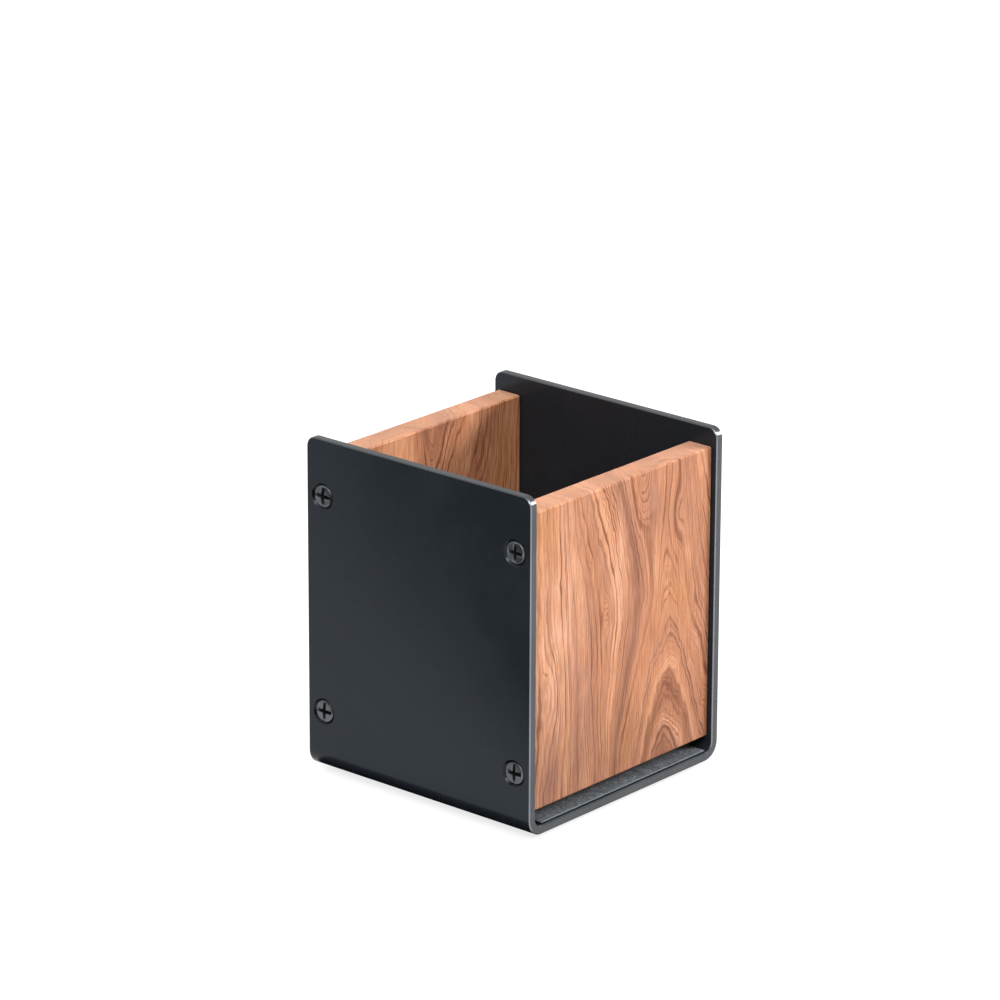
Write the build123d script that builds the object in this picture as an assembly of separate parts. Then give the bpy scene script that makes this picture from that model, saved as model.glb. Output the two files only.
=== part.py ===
from build123d import *
import os
from math import radians, tan

# Desktop pen holder. A folded aluminium sheet makes the floor and both side plates, and two wooden end panels
# close its open ends. Countersunk screws through the side plates hold the panels by pilot holes in their edges.
# A felt liner lies on the floor, and rubber feet stand under it.
# Frame: origin at the middle of the footprint, on the table. X runs across the side plates, Y from the front
# panel to the back panel, Z up. All sizes are in millimetres.

# Folded frame
frame_width = 80.0  # over the outer faces of the side plates
frame_depth = 80.0
frame_height = 96.0
sheet = 2.5
bend_radius = 2.5  # on the inside of the fold
corner_radius = 3.0  # free top corners of the side plates
edge_break = 0.3  # chamfer of the cut edges

# Rubber feet
foot_diameter = 10.0
foot_height = 1.5
foot_chamfer = 0.6
foot_side_margin = 3.0  # from the start of a bend to the foot
foot_end_margin = 8.0  # from an open end of the frame to the foot

# Liner: felt on a thin backing that stays behind the felt's edge
felt_thickness = 0.5
backing_thickness = 0.3
backing_setback = 0.5
liner_side_gap = 0.3  # from the felt to the start of a bend
liner_end_gap = 0.3  # from the felt to an open end of the frame

# End panels
panel_thickness = 8.0
panel_setback = 1.7  # behind the frame's open end
panel_drop = 5.3  # below the rim
panel_lift = 1.4  # above the bends and the liner
panel_chamfer = 0.4

# Screws
screw_diameter = 3.5  # over the thread
screw_core = 2.6  # at the root of the thread
screw_length = 16.0
screw_tip = 3.0
head_diameter = 6.8
head_rim = 0.2  # straight edge of the head above its cone
head_sunk = 0.2  # below the plate's outer face
head_angle = 90.0
screw_end_margin = 11.0  # from a panel's top or bottom edge to the screw

# Cross recess in the screw's head
recess_span = 4.6
recess_bottom_span = 1.9
recess_arm = 1.0
recess_depth = 1.9

# Clearances
seat_clearance = 0.02  # head to countersink
hole_clearance = 0.15  # thread to its hole in the sheet
pilot_clearance = 0.05  # screw's core to its pilot hole
pilot_spare = 1.5  # pilot hole beyond the screw's tip
cut_over = 1.0  # how far a cutting tool starts outside the sheet

# Levels above the table
floor_underside = foot_height
floor_top = floor_underside + sheet
backing_top = floor_top + backing_thickness
liner_thickness = backing_thickness + felt_thickness
rim = floor_underside + frame_height
panel_bottom = floor_top + max(bend_radius, liner_thickness) + panel_lift
panel_top = rim - panel_drop

# Half widths, and the panels' middle plane
inner_half_width = frame_width / 2 - sheet
flat_half_width = inner_half_width - bend_radius
half_depth = frame_depth / 2
panel_middle = half_depth - panel_setback - panel_thickness / 2

# Screw and its seat, with depths measured inwards from the plate's outer face
head_slope = tan(radians(head_angle / 2))
head_radius = head_diameter / 2
core_radius = screw_core / 2
cone_start = head_sunk + head_rim
cone_end = cone_start + (head_radius - core_radius) / head_slope
tip_end = head_sunk + screw_length
sink_radius = head_radius + cone_start * head_slope + seat_clearance
hole_radius = screw_diameter / 2 + hole_clearance
pilot_radius = core_radius + pilot_clearance
pilot_end = tip_end + pilot_spare


def revolved(points):
    """The solid turned from a closed outline of (radius, height) points about the Z axis."""
    outline = make_face(Polyline(*points, close=True))
    return revolve(Plane.XZ * outline, Axis.Z)


def screw_seats():
    """Each screw's name, the end of the frame it serves, and its plane: on the plate's outer face, facing out."""
    levels = {"bottom": panel_bottom + screw_end_margin, "top": panel_top - screw_end_margin}
    for side_name, side in (("left", -1), ("right", 1)):
        for end_name, end in (("front", -1), ("back", 1)):
            for level_name, level in levels.items():
                place = (side * frame_width / 2, end * panel_middle, level)
                seat = Plane(origin=place, x_dir=(0, side, 0), z_dir=(side, 0, 0))
                yield f"screw_{side_name}_{end_name}_{level_name}", end_name, seat


def screw_cut(bore_radius):
    """What a screw removes: the cone that its head sits in, down to a straight bore as deep as the pilot hole."""
    return revolved([
        (0, cut_over),
        (sink_radius + cut_over * head_slope, cut_over),
        (bore_radius, (bore_radius - sink_radius) / head_slope),
        (bore_radius, -pilot_end),
        (0, -pilot_end),
    ])


def make_screw():
    """A countersunk wood screw with a cross recess, its axis on Z and its head just below the plane Z = 0."""
    blank = revolved([
        (0, -head_sunk),
        (head_radius, -head_sunk),
        (head_radius, -cone_start),
        (core_radius, -cone_end),
        (core_radius, screw_tip - tip_end),
        (0, -tip_end),
    ])
    wing_outline = Polyline(
        (-recess_span / 2, -head_sunk),
        (recess_span / 2, -head_sunk),
        (recess_bottom_span / 2, -head_sunk - recess_depth),
        (-recess_bottom_span / 2, -head_sunk - recess_depth),
        close=True,
    )
    wing = extrude(Plane.XZ * make_face(wing_outline), recess_arm / 2, both=True)
    return blank - wing - Rot(0, 0, 90) * wing


def make_frame():
    """The folded sheet, with rounded top corners, chamfered cut edges and countersunk screw holes."""
    half_width = frame_width / 2
    fold = FilletPolyline(
        (-half_width, rim),
        (-half_width, floor_underside),
        (half_width, floor_underside),
        (half_width, rim),
        radius=bend_radius + sheet,
    )
    section = make_face(offset(fold, amount=sheet, side=Side.LEFT))
    frame = extrude(Plane.XZ * section, half_depth, both=True)
    free_corners = frame.edges().filter_by(Axis.X).group_by(Axis.Z)[-1]
    frame = fillet(free_corners, corner_radius)
    frame = chamfer(cut_edges(frame), edge_break)
    for name, end_name, seat in screw_seats():
        frame -= seat * screw_cut(hole_radius)
    return frame


def cut_edges(frame):
    """The edges where the sheet's cut outline meets its two broad surfaces."""
    end_faces = frame.faces().filter_by(Plane.XZ)
    rim_faces = frame.faces().filter_by(Plane.XY).group_by(Axis.Z)[-1]
    corner_faces = frame.faces().filter_by(GeomType.CYLINDER).group_by(Axis.Z)[-1]
    outline_faces = end_faces + rim_faces + corner_faces
    broad_faces = frame.faces() - outline_faces
    return outline_faces.edges() & broad_faces.edges()


def make_panel(end_name, end):
    """One end panel: a board with eased edges and the pilot holes of its own screws."""
    height = panel_top - panel_bottom
    board = Box(2 * inner_half_width, panel_thickness, height)
    board = chamfer(board.edges(), panel_chamfer)
    board = Pos(0, end * panel_middle, panel_bottom + height / 2) * board
    for name, screw_end, seat in screw_seats():
        if screw_end == end_name:
            board -= seat * screw_cut(pilot_radius)
    return board


def make_liner_layer(setback, thickness, bottom):
    """One flat layer of the liner, set back from the bends and the open ends of the frame."""
    width = 2 * (flat_half_width - liner_side_gap - setback)
    depth = 2 * (half_depth - liner_end_gap - setback)
    return Pos(0, 0, bottom + thickness / 2) * Box(width, depth, thickness)


def make_foot():
    """A round rubber foot with a chamfered rim, standing on the table."""
    foot = Pos(0, 0, foot_height / 2) * Cylinder(foot_diameter / 2, foot_height)
    return chamfer(foot.edges().group_by(Axis.Z)[0], foot_chamfer)


def foot_places():
    """Each foot's name and place under the flat part of the floor."""
    x = flat_half_width - foot_side_margin - foot_diameter / 2
    y = half_depth - foot_end_margin - foot_diameter / 2
    for end_name, end in (("front", -1), ("back", 1)):
        for side_name, side in (("left", -1), ("right", 1)):
            yield f"foot_{end_name}_{side_name}", Pos(side * x, end * y, 0)


def make_nodes():
    """Every piece by its name, in place."""
    nodes = {
        "frame": make_frame(),
        "front_panel": make_panel("front", -1),
        "back_panel": make_panel("back", 1),
        "liner_backing": make_liner_layer(backing_setback, backing_thickness, floor_top),
        "felt_liner": make_liner_layer(0, felt_thickness, backing_top),
    }
    screw = make_screw()
    for name, end_name, seat in screw_seats():
        nodes[name] = seat * screw
    foot = make_foot()
    for name, place in foot_places():
        nodes[name] = place * foot
    return nodes


os.makedirs("parts", exist_ok=True)
for node_name, solid in make_nodes().items():
    export_step(solid, f"parts/{node_name}.step")
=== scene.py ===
"""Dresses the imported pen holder: materials for its metal, walnut and rubber, detailed screws and felt, and a
studio with the photograph's camera. Lengths are in metres in the part's own frame, and in millimetres inside
the materials."""
import math
import random
from typing import NamedTuple

import bpy
from mathutils import Matrix, Vector, noise


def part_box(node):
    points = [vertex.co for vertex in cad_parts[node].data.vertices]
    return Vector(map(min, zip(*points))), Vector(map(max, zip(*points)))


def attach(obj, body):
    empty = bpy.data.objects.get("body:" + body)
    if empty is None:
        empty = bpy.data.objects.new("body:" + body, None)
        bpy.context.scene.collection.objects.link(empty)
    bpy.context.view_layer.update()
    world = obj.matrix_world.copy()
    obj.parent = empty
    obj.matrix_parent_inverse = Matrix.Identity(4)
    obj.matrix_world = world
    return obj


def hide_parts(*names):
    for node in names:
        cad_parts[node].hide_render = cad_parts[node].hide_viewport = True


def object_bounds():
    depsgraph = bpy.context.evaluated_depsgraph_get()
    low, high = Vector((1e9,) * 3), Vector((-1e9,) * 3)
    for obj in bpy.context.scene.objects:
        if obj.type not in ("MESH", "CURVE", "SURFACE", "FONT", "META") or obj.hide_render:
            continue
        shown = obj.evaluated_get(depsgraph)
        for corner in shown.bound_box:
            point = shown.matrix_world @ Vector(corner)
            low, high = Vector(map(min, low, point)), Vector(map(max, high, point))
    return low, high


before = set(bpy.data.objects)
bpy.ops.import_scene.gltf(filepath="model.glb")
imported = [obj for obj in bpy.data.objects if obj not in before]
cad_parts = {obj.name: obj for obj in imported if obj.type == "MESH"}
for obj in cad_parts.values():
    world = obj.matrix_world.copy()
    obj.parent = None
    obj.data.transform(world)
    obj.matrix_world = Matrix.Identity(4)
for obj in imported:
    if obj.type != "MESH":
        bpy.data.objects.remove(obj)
cad_low, cad_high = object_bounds()

MM = 0.001
random.seed(4)


def middle(node_name):
    """The middle of a CAD node's box."""
    low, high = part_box(node_name)
    return Vector([(a + b) / 2 for a, b in zip(low, high)])


# Places read from the frame
frame_low, frame_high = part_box("frame")
felt_low, felt_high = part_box("felt_liner")
floor_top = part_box("liner_backing")[0].z
front_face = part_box("front_panel")[0].y
back_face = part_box("back_panel")[1].y
low_screw = middle("screw_left_back_bottom")
top_screw = middle("screw_left_back_top")

# Sheet edges, as the solid has them
corner_radius = 3.0 * MM
edge_break = 0.3 * MM
liner_side_gap = 0.3 * MM  # from the felt to the start of a bend
flat_half_width = felt_high.x + liner_side_gap

# Screws, as the solids have them, with depths below the plate's outer face
head_radius = 3.4 * MM
head_sunk = 0.2 * MM
head_rim = 0.2 * MM
sink_radius = head_radius + head_sunk + head_rim
core_radius = 1.3 * MM
screw_length = 16.0 * MM
tip_length = 3.0 * MM
recess_depth = 1.9 * MM
recess_half_arm = 0.5 * MM
recess_bottom_half_span = 0.95 * MM

# What the solids simplify or leave out of a screw
recess_half_span = 2.55 * MM  # a little longer than the solids'
recess_bottom_half_arm = 0.42 * MM  # the arms narrow to the bottom
dome = 0.1 * MM
rim_round = 0.4 * MM
lip = 0.07 * MM  # chamfer round the recess
thread_radius = 1.75 * MM
thread_pitch = 1.4 * MM
thread_start = 3.4 * MM
thread_flank = 0.3  # share of the pitch that one flank takes
turn_spread = math.radians(3)  # how far a screw may stop from upright

# Colours, linear
ANODISED = (0.0187, 0.0243, 0.0312, 1)
CUT_EDGE = (0.101, 0.105, 0.111, 1)
# The next colour is a painted highlight on the upright chamfers
PAINTED_CHAMFER_HIGHLIGHT = (0.24, 0.262, 0.29, 1)
# The next colour is bare countersink metal made dark as painted shade round the screw heads
SEAT_PAINTED_SHADE = (0.023, 0.025, 0.028, 1)
COOL_SHINE = (0.81, 0.91, 1, 1)
CUT_SHINE = (0.66, 0.67, 0.68, 1)
PEACH = (0.82, 0.378, 0.20, 1)
TAN = (0.58, 0.25, 0.135, 1)
ORANGE = (0.68, 0.285, 0.14, 1)
BROWN = (0.41, 0.153, 0.069, 1)
PLUM = (0.32, 0.128, 0.073, 1)
VEIN = (0.225, 0.069, 0.029, 1)
END_GRAIN = (0.72, 0.41, 0.285, 1)
GOLD = (0.66, 0.285, 0.10, 1)
MAUVE = (0.47, 0.21, 0.135, 1)
PINK = (0.92, 0.465, 0.28, 1)
DARK_FIBRE = (0.80, 0.70, 0.62, 1)  # this and the next one multiply the wood's colour
PALE_FIBRE = (1.15, 1.27, 1.40, 1)
FELT_DARK = (0.008, 0.010, 0.013, 1)
FELT_MID = (0.066, 0.082, 0.102, 1)
FELT_PALE = (0.265, 0.32, 0.38, 1)
FOAM = (0.007, 0.007, 0.008, 1)
STEEL = (0.134, 0.146, 0.158, 1)
# The next colour is painted shade in the screws' recesses and under their heads
RECESS_SHADE = (0.012, 0.012, 0.013, 1)
RUBBER = (0.016, 0.016, 0.017, 1)
FLOOR = (0.42, 0.42, 0.42, 1)
WHITE = (1, 1, 1, 1)
BLACK = (0.002, 0.002, 0.002, 1)


class Shader:
    """A node tree with short calls for the nodes that the materials here are built from."""

    def __init__(self, tree):
        self.tree = tree
        tree.nodes.clear()

    def add(self, kind, inputs=None, **settings):
        """A node with its settings, and each input given a number, a colour or another node's socket."""
        node = self.tree.nodes.new("ShaderNode" + kind)
        for name, value in settings.items():
            setattr(node, name, value)
        for name, value in (inputs or {}).items():
            self.feed(node.inputs[name], value)
        return node

    def feed(self, socket, value):
        """Links another node's socket to this one, or sets this one to a plain value."""
        if isinstance(value, bpy.types.NodeSocket):
            self.tree.links.new(value, socket)
        else:
            socket.default_value = value

    def math(self, operation, *values):
        node = self.add("Math", operation=operation)
        for socket, value in zip(node.inputs, values):
            self.feed(socket, value)
        return node.outputs[0]

    def sum(self, first, *others):
        for value in others:
            first = self.math("ADD", first, value)
        return first

    def product(self, first, *others):
        for value in others:
            first = self.math("MULTIPLY", first, value)
        return first

    def minus(self, first, second):
        return self.math("SUBTRACT", first, second)

    def larger(self, first, second):
        return self.math("MAXIMUM", first, second)

    def magnitude(self, value):
        return self.math("ABSOLUTE", value)

    def distance(self, across, along):
        """How far a point with these two coordinates is from zero."""
        return self.math("SQRT", self.sum(self.product(across, across), self.product(along, along)))

    def place(self):
        """Where the surface point is in its object, in millimetres."""
        point = self.add("TexCoord").outputs["Object"]
        return self.times(point, (1 / MM, 1 / MM, 1 / MM))

    def normal(self):
        """The x, y and z of the direction that the surface faces."""
        return self.split(self.add("NewGeometry").outputs["Normal"])

    def times(self, vector, factors):
        """A vector or colour times another, part by part."""
        node = self.add("VectorMath", {0: vector, 1: factors}, operation="MULTIPLY")
        return node.outputs[0]

    def split(self, vector):
        return self.add("SeparateXYZ", {0: vector}).outputs

    def noise(self, place, repeats, detail=2.0, roughness=0.5, swirl=0.0):
        """Soft noise from 0 to 1, with so many features in a millimetre along x, y and z."""
        inputs = {
            "Vector": self.times(place, repeats),
            "Scale": 1.0,
            "Detail": detail,
            "Roughness": roughness,
            "Distortion": swirl,
        }
        return self.add("TexNoise", inputs).outputs["Fac"]

    def line_noise(self, value, detail=0.0):
        """Soft noise from 0 to 1 along one number."""
        inputs = {"W": value, "Scale": 1.0, "Detail": detail}
        return self.add("TexNoise", inputs, noise_dimensions="1D").outputs["Fac"]

    def sway(self, place, repeats, size, detail=1.0):
        """Noise from about -size to size."""
        return self.product(self.minus(self.noise(place, repeats, detail), 0.5), 2 * size)

    def step(self, value, low, high, start=0.0, end=1.0):
        """A smooth change from start to end while the value goes from low to high."""
        inputs = {"Value": value, "From Min": low, "From Max": high, "To Min": start, "To Max": end}
        return self.add("MapRange", inputs, interpolation_type="SMOOTHSTEP").outputs["Result"]

    def bell(self, value, centre, width):
        """1 at the centre, falling smoothly to 0 over about two widths."""
        off = self.math("DIVIDE", self.minus(value, centre), width)
        return self.math("EXPONENT", self.product(off, off, -1.0))

    def spot(self, x, z, area):
        """1 in the middle of an area, falling smoothly to 0 round it."""
        return self.product(self.bell(x, area.x, area.half_width), self.bell(z, area.z, area.half_height))

    def mix(self, factor, first, second):
        node = self.add("Mix", data_type="RGBA")
        for index, value in ((0, factor), (6, first), (7, second)):
            self.feed(node.inputs[index], value)
        return node.outputs[2]

    def shade(self, colour, factor):
        """The colour times a number."""
        if not isinstance(colour, bpy.types.NodeSocket):
            colour = colour[:3]
        node = self.add("VectorMath", {0: colour, "Scale": factor}, operation="SCALE")
        return node.outputs[0]

    def ramp(self, value, stops):
        """A colour from stops of (position, colour), with the value from 0 to 1."""
        node = self.add("ValToRGB", {0: value})
        node.color_ramp.interpolation = "EASE"
        elements = node.color_ramp.elements
        while len(elements) < len(stops):
            elements.new(1.0)
        for element, (position, colour) in zip(elements, stops):
            element.position = position
            element.color = colour
        return node.outputs["Color"]

    def bump(self, height, depth):
        return self.add("Bump", {"Height": height, "Distance": depth}).outputs["Normal"]

    def looked_at(self):
        """1 where the camera, a reflection or a look through glass ends, and 0 for light on its way."""
        path = self.add("LightPath").outputs
        indirect = self.larger(path["Is Glossy Ray"], path["Is Transmission Ray"])
        return self.larger(path["Is Camera Ray"], indirect)

    def surface(self, **inputs):
        """The principled shader as the material's surface, with sockets named by their labels."""
        named = {name.replace("_", " "): value for name, value in inputs.items()}
        node = self.add("BsdfPrincipled", named)
        output = self.add("OutputMaterial")
        self.tree.links.new(node.outputs[0], output.inputs["Surface"])


def new_material(name):
    material = bpy.data.materials.new(name)
    material.use_nodes = True
    return material, Shader(material.node_tree)


def dress(node_name, material):
    """Gives a CAD node its material."""
    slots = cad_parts[node_name].data.materials
    slots.clear()
    slots.append(material)


# Metal

CUT_BLUR = 0.05  # how softly the masks end, in millimetres
SEAT_BLUR = 0.03
LINER_BLUR = 0.2


def cut_mask(s, place):
    """1 on the cut outline and its chamfers, apart from the chamfer below the liner, which stays dark as
    painted shade under the liner's edge.
    """
    # Reach is measured from the rounded corners' centres, and is the corner radius all along the outline
    x, y, z = s.split(place)
    past_end = s.minus(s.magnitude(y), (frame_high.y - corner_radius) / MM)
    past_rim = s.minus(z, (frame_high.z - corner_radius) / MM)
    over_corner = s.distance(s.larger(past_end, 0.0), s.larger(past_rim, 0.0))
    short_of_corner = s.math("MINIMUM", s.larger(past_end, past_rim), 0.0)
    reach = s.sum(over_corner, short_of_corner)
    cut_start = (corner_radius - edge_break) / MM
    cut = s.step(reach, cut_start - CUT_BLUR, cut_start + CUT_BLUR)

    liner_chamfer = (floor_top - edge_break / 2) / MM
    bend_start = flat_half_width / MM
    between_bends = s.step(s.magnitude(x), bend_start - LINER_BLUR, bend_start + LINER_BLUR, 1.0, 0.0)
    # Painted shade: the chamfer just under the liner keeps the dark anodised colour instead of the cut edge's
    painted_liner_shade = s.product(s.bell(z, liner_chamfer, LINER_BLUR), between_bends)
    return s.product(cut, s.minus(1.0, painted_liner_shade))


def seat_mask(s, place):
    """1 in the countersinks, which mirror each other front to back and bottom to top."""
    x, y, z = s.split(place)
    level = (low_screw.z + top_screw.z) / 2 / MM
    rise = (top_screw.z - low_screw.z) / 2 / MM
    off_y = s.minus(s.magnitude(y), low_screw.y / MM)
    off_z = s.minus(s.magnitude(s.minus(z, level)), rise)
    edge = sink_radius / MM
    return s.step(s.distance(off_y, off_z), edge - SEAT_BLUR, edge + SEAT_BLUR, 1.0, 0.0)


def chamfer_highlight_mask(s):
    """1 on the upright chamfers, which face between x and y and carry a painted highlight."""
    normal_x, normal_y, normal_z = s.normal()
    return s.step(s.magnitude(s.product(normal_x, normal_y)), 0.35, 0.45)


def metal_material():
    """Satin anodised sheet, finely blasted, with brighter metal where it was cut, and countersinks darkened as
    painted shade.
    """
    material, s = new_material("frame_metal")
    place = s.place()
    cut = cut_mask(s, place)
    seat = seat_mask(s, place)
    bare = s.larger(cut, seat)
    blast = s.noise(place, (7, 7, 7), detail=3.0, roughness=0.6)
    cloud = s.noise(place, (0.05, 0.05, 0.05), detail=3.0)
    sheen = s.sum(s.step(blast, 0.2, 0.8, 0.88, 1.12), s.step(cloud, 0.3, 0.7, -0.06, 0.06))
    # Painted highlight: the upright chamfers are lighter and cooler than the rest of the cut
    cut_colour = s.mix(s.product(chamfer_highlight_mask(s), cut), CUT_EDGE, PAINTED_CHAMFER_HIGHLIGHT)
    # Painted shade: the countersinks are bare metal made nearly black, for the shade round the screw heads
    colour = s.mix(seat, s.mix(cut, ANODISED, cut_colour), SEAT_PAINTED_SHADE)
    s.surface(
        Base_Color=s.shade(colour, sheen),
        Metallic=s.product(bare, 0.85),
        Roughness=s.sum(0.26, s.step(cloud, 0.3, 0.7, -0.03, 0.03), s.step(blast, 0.3, 0.7, -0.04, 0.04)),
        Specular_IOR_Level=0.24,
        Specular_Tint=s.mix(bare, COOL_SHINE, CUT_SHINE),
        Normal=s.bump(blast, 0.006 * MM),
    )
    return material


# Walnut, with places and distances in millimetres

class Eye(NamedTuple):
    """A place where the grain swells round something."""

    x: float
    z: float
    half_width: float
    half_height: float
    swell: float


class Tint(NamedTuple):
    """A patch of another hue."""

    colour: tuple
    x: float
    z: float
    half_width: float
    half_height: float
    strength: float


class Figure(NamedTuple):
    """How one board was sawn from the log."""

    seed: float  # which veins this board shows
    heart_x: float  # line of the tree's heart, which the rings surround
    heart_y: float
    waist: float  # height at which the rings stand upright
    upper_slopes: tuple  # how the rings spread above the waist, left and right of the heart
    eyes: tuple
    tints: tuple
    band_shares: tuple  # share of the dark band left and right of the heart
    # The next field is painted shade towards the foot and painted light higher up
    painted_foot_shade: tuple  # heights between which the wood lightens, and its shades there
    foot_tilt: float  # how fast those heights fall to the right


# Rings by their distance from the heart less their spread, with the colour there
RING_COLOURS = (
    (-11.0, BROWN), (-8.6, TAN), (-8.1, PEACH), (-7.6, PEACH), (-7.0, ORANGE), (-5.6, BROWN),
    (-3.2, BROWN), (-2.7, PEACH), (-2.1, PEACH), (-1.4, ORANGE), (1.5, TAN), (4.0, ORANGE),
    (8.5, ORANGE), (11.0, TAN), (16.5, TAN), (19.0, ORANGE), (20.5, PEACH), (23.5, PEACH),
    (25.0, TAN), (30.0, ORANGE), (34.0, TAN), (37.0, PEACH), (40.5, TAN), (43.0, PEACH),
    (46.5, PEACH), (49.0, ORANGE), (51.0, TAN), (54.0, PEACH), (57.0, ORANGE),
)
HEART_HALF_WIDTH = 4.0  # over which the left of the heart turns into its right
FLARE = 0.36  # how fast the rings spread below the waist
WAIST_SOFTNESS = 12.0
FLARE_FADES = (18.0, 32.0)  # distance from the heart over which the spread below the waist dies out
LEAN_FADES = (28.0, 54.0)  # the same above the waist
HEART_CALM = (3.0, 13.0)  # distance from the heart over which the spread above the waist sets in
BAND = (12.9, 1.8)  # ring and half width of the dark band
VEINS_PER_MM = 1.3
FINE_VEINS_PER_MM = 3.3
FINE_VEIN_SEED = 40.0
LATE_WOOD_SHIFT = 0.3  # how far the late wood lies from a vein, in veins
CROWDING_PER_MM = 0.22  # how often the veins crowd together
CROWDING = 3.0  # by how many veins


def ring_spread(s, across, side, up, upper_slopes):
    """How far the rings spread from the heart's line below the waist and above it."""
    off_heart = s.magnitude(across)
    rounded = s.math("SQRT", s.sum(s.product(up, up), WAIST_SOFTNESS ** 2))
    soft_up = s.minus(rounded, WAIST_SOFTNESS)
    below = s.product(s.minus(soft_up, up), FLARE / 2, s.step(off_heart, *FLARE_FADES, 1.0, 0.0))
    left_slope, right_slope = upper_slopes
    above = s.product(
        s.sum(soft_up, up),
        s.step(side, 0.0, 1.0, left_slope / 2, right_slope / 2),
        s.step(off_heart, *HEART_CALM),
        s.step(off_heart, *LEAN_FADES, 1.0, 0.0),
    )
    return s.sum(below, above)


def growth(s, place, figure):
    """The growth ring at each place, by its distance from the heart less its spread. With it come the place
    across the board as the grain wanders, and the side of the heart, from 0 on its left to 1 on its right."""
    x, y, z = s.split(place)
    restless = s.step(s.noise(place, (1 / 13, 1 / 13, 1 / 22)), 0.45, 0.7, 0.7, 3.0)
    wandering_x = s.sum(
        x,
        s.sway(place, (1 / 15, 1 / 15, 1 / 40), 3.0),
        s.product(s.sway(place, (1 / 4, 1 / 4, 1 / 9), 0.55), restless),
        s.sway(place, (1 / 1.4, 1 / 1.4, 1 / 3), 0.2),
    )
    wandering_z = s.sum(
        z,
        s.sway(place, (1 / 5, 1 / 5, 1 / 12), 3.5, detail=2.0),
        s.sway(place, (1 / 1.8, 1 / 1.8, 1 / 6), 1.6),
    )
    across = s.minus(wandering_x, figure.heart_x)
    side = s.step(across, -HEART_HALF_WIDTH, HEART_HALF_WIDTH)
    up = s.minus(wandering_z, figure.waist)
    from_heart = s.distance(across, s.minus(y, figure.heart_y))
    ring = s.minus(from_heart, ring_spread(s, across, side, up, figure.upper_slopes))
    for eye in figure.eyes:
        ring = s.sum(ring, s.product(s.spot(x, z, eye), eye.swell))
    return ring, wandering_x, side


def ground_colour(s, place, figure, ring, wandering_x, side):
    """The wood's colour before its veins: the rings, clouds, patches of other hues and one dark band."""
    z = s.split(place)[2]
    first, last = RING_COLOURS[0][0], RING_COLOURS[-1][0]
    stops = [((at - first) / (last - first), colour) for at, colour in RING_COLOURS]
    colour = s.ramp(s.math("DIVIDE", s.minus(ring, first), last - first), stops)
    cloud = s.noise(place, (1 / 8, 1 / 8, 1 / 24), detail=3.0)
    colour = s.mix(s.step(cloud, 0.52, 0.75, 0.0, 0.5), colour, BROWN)
    colour = s.mix(s.step(cloud, 0.5, 0.28, 0.0, 0.75), colour, PEACH)
    ragged = s.step(s.noise(place, (1 / 3, 1 / 3, 1 / 16), detail=3.0), 0.35, 0.6, 0.35, 1.25)
    for tint in figure.tints:
        patch = s.product(s.spot(wandering_x, z, tint), ragged, tint.strength)
        colour = s.mix(patch, colour, tint.colour)
    band = s.product(s.bell(ring, *BAND), s.step(side, 0.0, 1.0, *figure.band_shares))
    return s.mix(s.product(band, s.step(cloud, 0.2, 0.6, 0.45, 0.85)), colour, PLUM)


def add_veins(s, place, figure, ring, colour):
    """Draws late wood and dark veins along the rings. Gives back the colour and the veins' strength."""
    crowding = s.product(s.line_noise(s.product(ring, CROWDING_PER_MM)), CROWDING)
    vein = s.sum(s.product(ring, VEINS_PER_MM), crowding, figure.seed)
    fine_vein = s.sum(s.product(ring, FINE_VEINS_PER_MM), FINE_VEIN_SEED)
    late = s.step(s.line_noise(s.sum(vein, LATE_WOOD_SHIFT)), 0.48, 0.72, 0.0, 0.4)
    strong = s.step(s.line_noise(vein), 0.57, 0.73, 0.0, 0.85)
    faint = s.step(s.line_noise(fine_vein), 0.52, 0.75, 0.0, 0.62)
    fading = s.step(s.noise(place, (1 / 6, 1 / 6, 1 / 24)), 0.36, 0.62, 0.25, 1.0)
    veins = s.product(s.larger(strong, faint), fading)
    return s.mix(veins, s.mix(late, colour, BROWN), VEIN), veins


# Painted shade and light: darker towards the foot, lighter higher up
def paint_foot_shade(s, place, figure, colour):
    """Darkens the board to its foot, as in the photograph."""
    x, y, z = s.split(place)
    level = s.sum(z, s.product(x, figure.foot_tilt))
    return s.shade(colour, s.step(level, *figure.painted_foot_shade))


def add_fibres(s, place, colour):
    """Draws fibres and short dark pores along the grain. Gives back the colour, the fibres and the pores."""
    fibre = s.noise(place, (2.4, 2.4, 0.12), detail=3.0, roughness=0.6)
    pores = s.step(s.noise(place, (4.5, 4.5, 0.42), detail=1.0), 0.66, 0.76)
    pores = s.product(pores, s.step(fibre, 0.35, 0.6))
    colour = s.times(colour, s.mix(s.step(fibre, 0.25, 0.75), DARK_FIBRE, PALE_FIBRE))
    return s.mix(s.product(pores, 0.45), colour, VEIN), fibre, pores


def add_end_grain(s, place, colour):
    """Pales the faces that look up or down. Gives back the colour and a mask of those faces."""
    end_grain = s.step(s.magnitude(s.normal()[2]), 0.8, 0.95)
    dots = s.noise(place, (3.0, 3.0, 0.1))
    end_colour = s.mix(s.step(dots, 0.5, 0.7, 0.0, 0.4), s.mix(0.55, colour, END_GRAIN), BROWN)
    return s.mix(end_grain, colour, end_colour), end_grain


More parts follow.
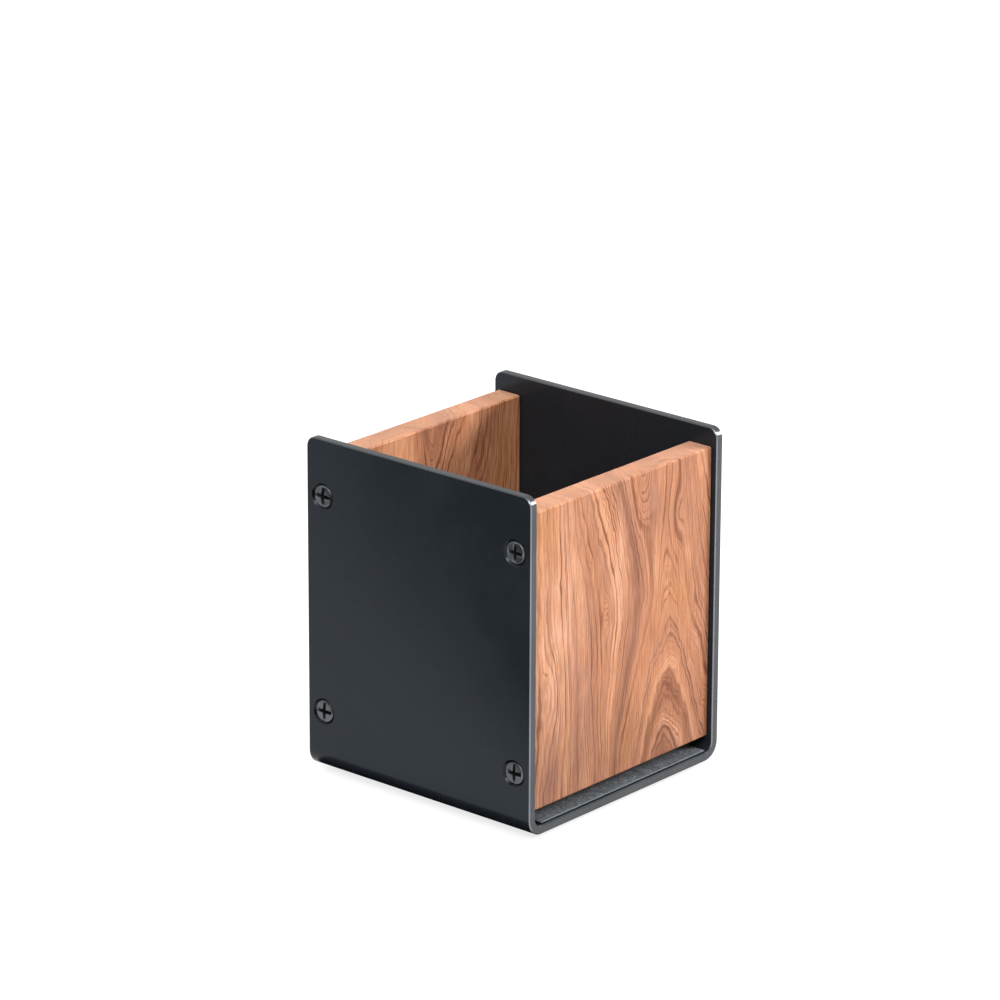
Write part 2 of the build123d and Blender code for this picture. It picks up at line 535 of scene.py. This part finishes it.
def walnut_material(name, figure):
    """Walnut with upright grain: rings round the heart of the tree, dark veins, fibres and pores."""
    material, s = new_material(name)
    place = s.place()
    ring, wandering_x, side = growth(s, place, figure)
    colour = ground_colour(s, place, figure, ring, wandering_x, side)
    colour, veins = add_veins(s, place, figure, ring, colour)
    colour = paint_foot_shade(s, place, figure, colour)
    colour, fibre, pores = add_fibres(s, place, colour)
    colour, end_grain = add_end_grain(s, place, colour)
    rough = s.sum(s.step(fibre, 0.2, 0.8, 0.40, 0.52), s.product(pores, 0.2))
    relief = s.sum(s.product(fibre, 0.6), s.product(pores, -0.8), s.product(veins, -0.3))
    s.surface(
        Base_Color=colour,
        Roughness=s.larger(rough, s.product(end_grain, 0.9)),
        Specular_IOR_Level=s.step(end_grain, 0.0, 1.0, 0.3, 0.1),
        Normal=s.bump(relief, 0.03 * MM),
    )
    return material


FRONT_FIGURE = Figure(
    seed=11.7,
    heart_x=19.5,
    heart_y=front_face / MM - 4.0,
    waist=57.0,
    upper_slopes=(0.36, -0.2),
    eyes=(
        Eye(x=-28.0, z=39.0, half_width=4.2, half_height=17.0, swell=5.0),
        Eye(x=-5.5, z=56.0, half_width=2.2, half_height=5.0, swell=2.5),
        Eye(x=23.0, z=77.0, half_width=3.0, half_height=8.0, swell=2.5),
    ),
    tints=(
        Tint(GOLD, x=-34.0, z=84.0, half_width=6.0, half_height=11.0, strength=0.7),
        Tint(PINK, x=-24.0, z=64.0, half_width=8.0, half_height=20.0, strength=1.0),
        Tint(PINK, x=-29.0, z=41.0, half_width=8.0, half_height=15.0, strength=1.0),
        Tint(MAUVE, x=-17.0, z=36.0, half_width=5.0, half_height=20.0, strength=0.7),
        Tint(PINK, x=-1.0, z=66.0, half_width=3.0, half_height=22.0, strength=0.7),
        Tint(MAUVE, x=13.0, z=82.0, half_width=5.0, half_height=11.0, strength=0.7),
        Tint(GOLD, x=24.0, z=54.0, half_width=7.0, half_height=8.0, strength=0.5),
        Tint(TAN, x=33.0, z=45.0, half_width=6.0, half_height=40.0, strength=0.5),
        Tint(MAUVE, x=-30.0, z=14.0, half_width=6.0, half_height=8.0, strength=0.6),
        Tint(GOLD, x=2.0, z=18.0, half_width=8.0, half_height=9.0, strength=0.5),
        Tint(TAN, x=27.0, z=76.0, half_width=10.0, half_height=16.0, strength=0.75),
    ),
    band_shares=(1.0, 0.0),
    painted_foot_shade=(4.0, 44.0, 0.75, 1.09),
    foot_tilt=0.3,
)
BACK_FIGURE = Figure(
    seed=31.0,
    heart_x=-12.0,
    heart_y=back_face / MM + 11.0,
    waist=40.0,
    upper_slopes=(0.2, 0.3),
    eyes=(
        Eye(x=20.0, z=60.0, half_width=4.0, half_height=12.0, swell=3.0),
    ),
    tints=(
        Tint(GOLD, x=30.0, z=75.0, half_width=6.0, half_height=20.0, strength=0.6),
        Tint(MAUVE, x=8.0, z=30.0, half_width=6.0, half_height=20.0, strength=0.6),
        Tint(PINK, x=-20.0, z=60.0, half_width=6.0, half_height=20.0, strength=0.6),
    ),
    band_shares=(0.0, 1.0),
    painted_foot_shade=(16.0, 60.0, 0.9, 1.0),
    foot_tilt=-0.2,
)


# Other materials

def felt_material():
    """Charcoal needle felt, with dark and pale fibres lying every way and a paler cut edge as a painted
    highlight.
    """
    material, s = new_material("felt")
    place = s.place()
    tangle = s.noise(place, (0.9, 0.5, 0.9), detail=5.0, roughness=0.75, swirl=1.5)
    along = s.noise(place, (0.45, 0.9, 1.2), swirl=1.5)
    across = s.noise(place, (1.1, 0.35, 1.2), swirl=1.5)
    strands = s.larger(s.step(along, 0.58, 0.7), s.step(across, 0.58, 0.7))
    colour = s.mix(s.step(tangle, 0.4, 0.58), FELT_DARK, FELT_MID)
    colour = s.mix(s.product(strands, 0.65), colour, FELT_PALE)
    to_edge = s.minus(felt_high.y / MM, s.magnitude(s.split(place)[1]))
    # Painted highlight: the felt is paler along its front and back edges
    colour = s.mix(s.step(to_edge, 0.15, 0.5, 0.6, 0.0), colour, FELT_PALE)
    s.surface(
        Base_Color=colour,
        Roughness=s.step(tangle, 0.3, 0.7, 0.88, 1.0),
        Specular_IOR_Level=0.15,
        Sheen_Weight=0.25,
        Sheen_Roughness=0.5,
        Normal=s.bump(s.sum(tangle, s.product(strands, 0.5)), 0.12 * MM),
    )
    return material


def foam_material():
    """Thin black foam with open cells."""
    material, s = new_material("liner_backing")
    inputs = {"Vector": s.times(s.place(), (4, 4, 4)), "Scale": 1.0}
    cells = s.add("TexVoronoi", inputs).outputs["Distance"]
    s.surface(
        Base_Color=s.shade(FOAM, s.step(cells, 0.1, 0.7, 0.7, 1.5)),
        Roughness=s.step(cells, 0.0, 0.8, 0.8, 0.95),
        Specular_IOR_Level=0.2,
        Normal=s.bump(cells, 0.05 * MM),
    )
    return material


def steel_material():
    """Dark nickel on turned steel, darker and duller in the recess and below the head as painted shade."""
    material, s = new_material("screw_steel")
    place = s.place()
    x, y, z = s.split(place)
    turning = s.line_noise(s.product(s.distance(x, y), 9.0), detail=2.0)
    grain = s.noise(place, (5, 5, 5), detail=3.0)
    # Painted shade: darkens from just below the head's face down into the recess and under the rim
    painted_recess_shade = s.step(z, -0.6, -0.25, 1.0, 0.0)
    sheen = s.sum(s.step(turning, 0.3, 0.7, 0.86, 1.04), s.step(grain, 0.3, 0.7, -0.06, 0.06))
    s.surface(
        Base_Color=s.mix(s.product(painted_recess_shade, 0.95), s.shade(STEEL, sheen), RECESS_SHADE),
        Metallic=s.step(painted_recess_shade, 0.0, 1.0, 1.0, 0.5),
        Roughness=s.sum(s.step(grain, 0.25, 0.75, 0.30, 0.40), s.product(painted_recess_shade, 0.3)),
        Normal=s.bump(s.sum(turning, grain), 0.008 * MM),
    )
    return material


def rubber_material():
    """Matt black rubber with a moulded grain and a little dust."""
    material, s = new_material("foot_rubber")
    place = s.place()
    grain = s.noise(place, (3.5, 3.5, 3.5), detail=3.0)
    dust = s.noise(place, (0.4, 0.4, 0.4), detail=3.0)
    sheen = s.sum(s.step(grain, 0.3, 0.7, 0.8, 1.2), s.step(dust, 0.5, 0.8, 0.0, 0.6))
    s.surface(
        Base_Color=s.shade(RUBBER, sheen),
        Roughness=s.step(grain, 0.3, 0.7, 0.68, 0.85),
        Specular_IOR_Level=0.35,
        Normal=s.bump(grain, 0.02 * MM),
    )
    return material


# Pieces

def add_mesh(name, points, faces, material):
    """A smooth mesh piece with the material slot that it stands for."""
    mesh = bpy.data.meshes.new(name)
    mesh.from_pydata(points, [], faces)
    mesh.validate()
    mesh.materials.append(material)
    piece = bpy.data.objects.new(name, mesh)
    bpy.context.scene.collection.objects.link(piece)
    mesh.polygons.foreach_set("use_smooth", [True] * len(mesh.polygons))
    mesh.set_sharp_from_angle(angle=math.radians(40))
    return piece


# A screw is a stack of loops. Each loop has a (radius, height) for every one of its points round the axis.
LOOP = 72  # points in a loop
THREAD_STEPS = 8  # loops in one turn of the thread
CROSS_SHARPNESS = 9  # how square the corners of the cross are
QUARTERS = (0, 0.25, 0.5, 0.75, 1)
LOWER_THIRDS = (0.33, 0.66, 1)


def round_loop(radius, depth):
    """A circle round the screw's axis at a depth below the plate's face."""
    return [(radius, -depth)] * LOOP


def arm_radius(along, across, half_span, half_arm):
    """Distance from the axis to the edge of one straight arm with rounded corners."""
    ends = (along / half_span) ** CROSS_SHARPNESS
    sides = (across / half_arm) ** CROSS_SHARPNESS
    return (ends + sides) ** (-1 / CROSS_SHARPNESS)


def cross_radius(angle, half_span, half_arm):
    """Distance from the axis to the edge of a cross with rounded corners."""
    c, s = abs(math.cos(angle)), abs(math.sin(angle))
    level = arm_radius(c, s, half_span, half_arm)
    upright = arm_radius(s, c, half_span, half_arm)
    return (level ** CROSS_SHARPNESS + upright ** CROSS_SHARPNESS) ** (1 / CROSS_SHARPNESS)


def cross_loop(half_span, half_arm, depth):
    """The outline of a cross at a depth below the plate's face."""
    angles = [2 * math.pi * k / LOOP for k in range(LOOP)]
    return [(cross_radius(angle, half_span, half_arm), -depth) for angle in angles]


def blended(first, second, share):
    """The loop at a share of the way from one loop to another."""
    return [(a + (c - a) * share, b + (d - b) * share) for (a, b), (c, d) in zip(first, second)]


def head_loops():
    """The cross recess from its bottom up, the domed face, the rounded rim and the cone down to the core."""
    crown = head_sunk - dome
    rim_radius = head_radius - (rim_round - head_rim)  # where the rounded rim runs into the solid's own cone
    bottom = cross_loop(recess_bottom_half_span, recess_bottom_half_arm, head_sunk + recess_depth)
    edge = cross_loop(recess_half_span, recess_half_arm, crown + lip)
    opening = cross_loop(recess_half_span + lip, recess_half_arm + lip, crown)
    face_edge = round_loop(rim_radius - rim_round, head_sunk)
    loops = [blended(bottom, edge, share) for share in QUARTERS]
    loops += [blended(opening, face_edge, share) for share in QUARTERS]
    for degrees in (30, 60, 90):
        turn = math.radians(degrees)
        radius = rim_radius - rim_round * (1 - math.sin(turn))
        loops.append(round_loop(radius, head_sunk + rim_round * (1 - math.cos(turn))))
    neck = round_loop(core_radius, head_sunk + head_rim + head_radius - core_radius)
    loops += [blended(loops[-1], neck, share) for share in LOWER_THIRDS]
    return loops


def thread_loops():
    """The shank from the start of the thread to just before the tip."""
    end = head_sunk + screw_length
    pitch_step = thread_pitch / THREAD_STEPS
    loops = []
    for i in range(int((end - thread_start) / pitch_step)):
        depth = thread_start + i * pitch_step
        to_tip = min(1.0, (end - depth) / tip_length)
        run_in = min(1.0, (depth - thread_start) / thread_pitch)
        height = (thread_radius - core_radius) * run_in * min(1.0, 2 * to_tip)
        loop = []
        for k in range(LOOP):
            phase = (depth / thread_pitch + k / LOOP) % 1.0
            ridge = max(0.0, 1 - abs(phase - 0.5) / thread_flank)
            loop.append((core_radius * to_tip + height * ridge, -depth))
        loops.append(loop)
    return loops


def screw_mesh():
    """Points and faces of a screw along Z, with its head just below the plane Z = 0."""
    loops = head_loops() + thread_loops()
    points = []
    for loop in loops:
        for k, (radius, height) in enumerate(loop):
            angle = 2 * math.pi * k / LOOP
            points.append((radius * math.cos(angle), radius * math.sin(angle), height))
    faces = []
    for row in range(len(loops) - 1):
        for k in range(LOOP):
            here, after = row * LOOP + k, row * LOOP + (k + 1) % LOOP
            faces.append((here, here + LOOP, after + LOOP, after))
    recess_bottom, tip = len(points), len(points) + 1
    points += [(0, 0, -head_sunk - recess_depth), (0, 0, -head_sunk - screw_length)]
    last = (len(loops) - 1) * LOOP
    for k in range(LOOP):
        after = (k + 1) % LOOP
        faces.append((recess_bottom, k, after))
        faces.append((tip, last + after, last + k))
    return points, faces


def make_screw(node_name, material):
    """A countersunk screw with a cross recess and a thread, in the place of its CAD solid."""
    points, faces = screw_mesh()
    piece = add_mesh(node_name + "_detail", points, faces, material)
    centre = middle(node_name)
    side = 1 if centre.x > 0 else -1
    out, along = Vector((side, 0, 0)), Vector((0, side, 0))
    turned = Matrix((along, out.cross(along), out)).transposed().to_4x4()
    place = Vector((side * frame_high.x, centre.y, centre.z))
    spin = Matrix.Rotation(random.uniform(-turn_spread, turn_spread), 4, "Z")
    piece.matrix_world = Matrix.Translation(place) @ turned @ spin
    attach(piece, "root")
    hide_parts(node_name)


FELT_CELL = 0.7 * MM
FELT_RELIEF = 0.05 * MM
FELT_FRAY = 0.12 * MM
FELT_LIFT = 0.2 * MM  # rounding under the cut edge
TUFT = 1.7 * MM
FINE_TUFT = 0.8 * MM
FRAY_LENGTH = 1.1 * MM


def make_felt(material):
    """The felt liner: a thin sheet with an uneven nap and a slightly frayed, rounded edge."""
    width, depth = felt_high.x - felt_low.x, felt_high.y - felt_low.y
    columns, rows = round(width / FELT_CELL), round(depth / FELT_CELL)

    def point(i, j, top):
        x = felt_low.x + width * i / columns
        y = felt_low.y + depth * j / rows
        nap = noise.noise(Vector((x, y, 0)) / TUFT) + 0.6 * noise.noise(Vector((x, y, 1)) / FINE_TUFT)
        at_edge = min(i, columns - i, j, rows - j) == 0
        if at_edge:
            fray = FELT_FRAY * (0.5 + 0.5 * noise.noise(Vector((x, y, 2)) / FRAY_LENGTH))
            x -= math.copysign(fray, x) if i in (0, columns) else 0
            y -= math.copysign(fray, y) if j in (0, rows) else 0
        if top:
            return (x, y, felt_high.z - FELT_RELIEF + FELT_RELIEF * 0.6 * nap)
        return (x, y, felt_low.z + (FELT_LIFT if at_edge else 0))

    points, faces, number = [], [], {}
    for top in (True, False):
        for i in range(columns + 1):
            for j in range(rows + 1):
                number[i, j, top] = len(points)
                points.append(point(i, j, top))
    for i in range(columns):
        for j in range(rows):
            corners = ((i, j), (i + 1, j), (i + 1, j + 1), (i, j + 1))
            faces.append([number[a, b, True] for a, b in corners])
            faces.append([number[a, b, False] for a, b in reversed(corners)])
    outline = [(i, 0) for i in range(columns)] + [(columns, j) for j in range(rows)]
    outline += [(columns - i, rows) for i in range(columns)] + [(0, rows - j) for j in range(rows)]
    for (a, b), (c, d) in zip(outline, outline[1:] + outline[:1]):
        faces.append([number[a, b, False], number[c, d, False], number[c, d, True], number[a, b, True]])
    piece = add_mesh("felt_sheet", points, faces, material)
    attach(piece, "root")
    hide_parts("felt_liner")


# Studio

FLOOR_REACH = 6.0
FLOOR_GLOW = 0.79  # with the light that falls on it, the floor just reaches white
FLAG_NEAR = Vector((-0.068, -0.03, 0))
FLAG_FAR = Vector((-0.533, 0.637, 0))
FLAG_HEIGHT = Vector((0, 0, 0.09))
SHADE_MARGIN = 7 * MM  # how far the lying flag reaches past the side plates
SHADE_LIFT = 0.5 * MM


def add_card(name, corners, material):
    """A flat card of the stage, from its four corners."""
    mesh = bpy.data.meshes.new(name)
    mesh.from_pydata(corners, [], [(0, 1, 2, 3)])
    mesh.materials.append(material)
    card = bpy.data.objects.new(name, mesh)
    bpy.context.scene.collection.objects.link(card)
    return card


def level_corners(low_x, low_y, high_x, high_y, z):
    """The four corners of a level rectangle, in turn."""
    return [(low_x, low_y, z), (high_x, low_y, z), (high_x, high_y, z), (low_x, high_y, z)]


def add_floor():
    """A pale floor, white to the camera and in reflections, that keeps the holder's shadow."""
    material, s = new_material("floor")
    cover = s.add("BsdfDiffuse", {"Color": FLOOR})
    glow = s.add("Emission", {"Color": WHITE, "Strength": s.product(s.looked_at(), FLOOR_GLOW)})
    both = s.add("AddShader", {0: cover.outputs[0], 1: glow.outputs[0]})
    s.add("OutputMaterial", {"Surface": both.outputs[0]})
    add_card("floor", level_corners(-FLOOR_REACH, -FLOOR_REACH, FLOOR_REACH, FLOOR_REACH, 0), material)


def add_flag(name, corners, material):
    """A black card that only reflections see."""
    flag = add_card(name, corners, material)
    flag.visible_camera = False
    flag.visible_diffuse = False
    flag.visible_transmission = False
    flag.visible_shadow = False


def add_flags():
    """One card stands beside the holder, so that its side plate darkens to the upper end. One lies under the
    holder, where the floor is in shadow, so that the bends and the countersinks mirror no white there."""
    material, s = new_material("flag")
    s.surface(Base_Color=BLACK, Roughness=1.0, Specular_IOR_Level=0.0)
    standing = [FLAG_NEAR, FLAG_FAR, FLAG_FAR + FLAG_HEIGHT, FLAG_NEAR + FLAG_HEIGHT]
    add_flag("standing_flag", standing, material)
    low_x, high_x = frame_low.x - SHADE_MARGIN, frame_high.x + SHADE_MARGIN
    lying = level_corners(low_x, frame_low.y, high_x, frame_high.y, SHADE_LIFT)
    add_flag("lying_flag", lying, material)


def set_world(ambient):
    """Soft light from all round, and white where the camera or a reflection looks."""
    world = bpy.data.worlds.new("studio")
    world.use_nodes = True
    bpy.context.scene.world = world
    s = Shader(world.node_tree)
    soft = s.add("Background", {"Color": WHITE, "Strength": ambient})
    white = s.add("Background", {"Color": WHITE, "Strength": 1.0})
    both = s.add("MixShader", {0: s.looked_at(), 1: soft.outputs[0], 2: white.outputs[0]})
    s.add("OutputWorld", {"Surface": both.outputs[0]})


def add_softbox(name, direction, distance, size, level):
    """A square area light aimed at the holder. The level is the share of a colour that it alone would give
    back from a surface facing it."""
    light = bpy.data.lights.new(name, "AREA")
    light.shape = "SQUARE"
    light.size = size
    light.energy = level * 4 * math.pi * distance ** 2
    lamp = bpy.data.objects.new(name, light)
    aim = Vector((0, 0, (cad_low.z + cad_high.z) / 2))
    away = Vector(direction).normalized()
    turned = away.to_track_quat("Z", "Y").to_matrix().to_4x4()
    lamp.matrix_world = Matrix.Translation(aim + away * distance) @ turned
    bpy.context.scene.collection.objects.link(lamp)


def add_camera():
    """The photograph's camera, found by fitting a pinhole camera to the holder's edges."""
    azimuth, elevation, roll = (math.radians(v) for v in (-49.176, 19.054, 0.23))
    distance = 1.4634
    sideways = -4.07 * MM
    target_height = 77.735 * MM
    level = math.cos(elevation)
    back = Vector((math.sin(azimuth) * level, -math.cos(azimuth) * level, math.sin(elevation)))
    right = Vector((math.cos(azimuth), math.sin(azimuth), 0))
    up = back.cross(right)
    target = right * sideways + Vector((0, 0, target_height))
    rolled_right = right * math.cos(roll) + up * math.sin(roll)
    rolled_up = up * math.cos(roll) - right * math.sin(roll)
    data = bpy.data.cameras.new("camera")
    data.sensor_fit = "HORIZONTAL"
    data.sensor_width = 36.0
    data.lens = 193.79
    camera = bpy.data.objects.new("camera", data)
    turned = Matrix((rolled_right, rolled_up, back)).transposed().to_4x4()
    camera.matrix_world = Matrix.Translation(target + back * distance) @ turned
    bpy.context.scene.collection.objects.link(camera)
    bpy.context.scene.camera = camera


add_camera()
dress("frame", metal_material())
dress("front_panel", walnut_material("walnut_front", FRONT_FIGURE))
dress("back_panel", walnut_material("walnut_back", BACK_FIGURE))
dress("liner_backing", foam_material())
rubber = rubber_material()
steel = steel_material()
for node_name in sorted(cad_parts):
    if node_name.startswith("foot_"):
        dress(node_name, rubber)
    if node_name.startswith("screw_"):
        make_screw(node_name, steel)
make_felt(felt_material())

add_floor()
add_flags()
set_world(ambient=0.22)
add_softbox("key", direction=(0.718, -0.59, 0.369), distance=1.1, size=0.26, level=0.6)
add_softbox("top", direction=(-0.2, -0.15, 1.0), distance=1.2, size=0.9, level=0.3)
add_softbox("fill", direction=(-0.6, -0.46, 0.64), distance=1.3, size=0.5, level=0.34)
add_softbox("back", direction=(0.3, 0.85, 0.45), distance=1.3, size=0.5, level=0.35)
bpy.context.scene.view_settings.view_transform = "Standard"
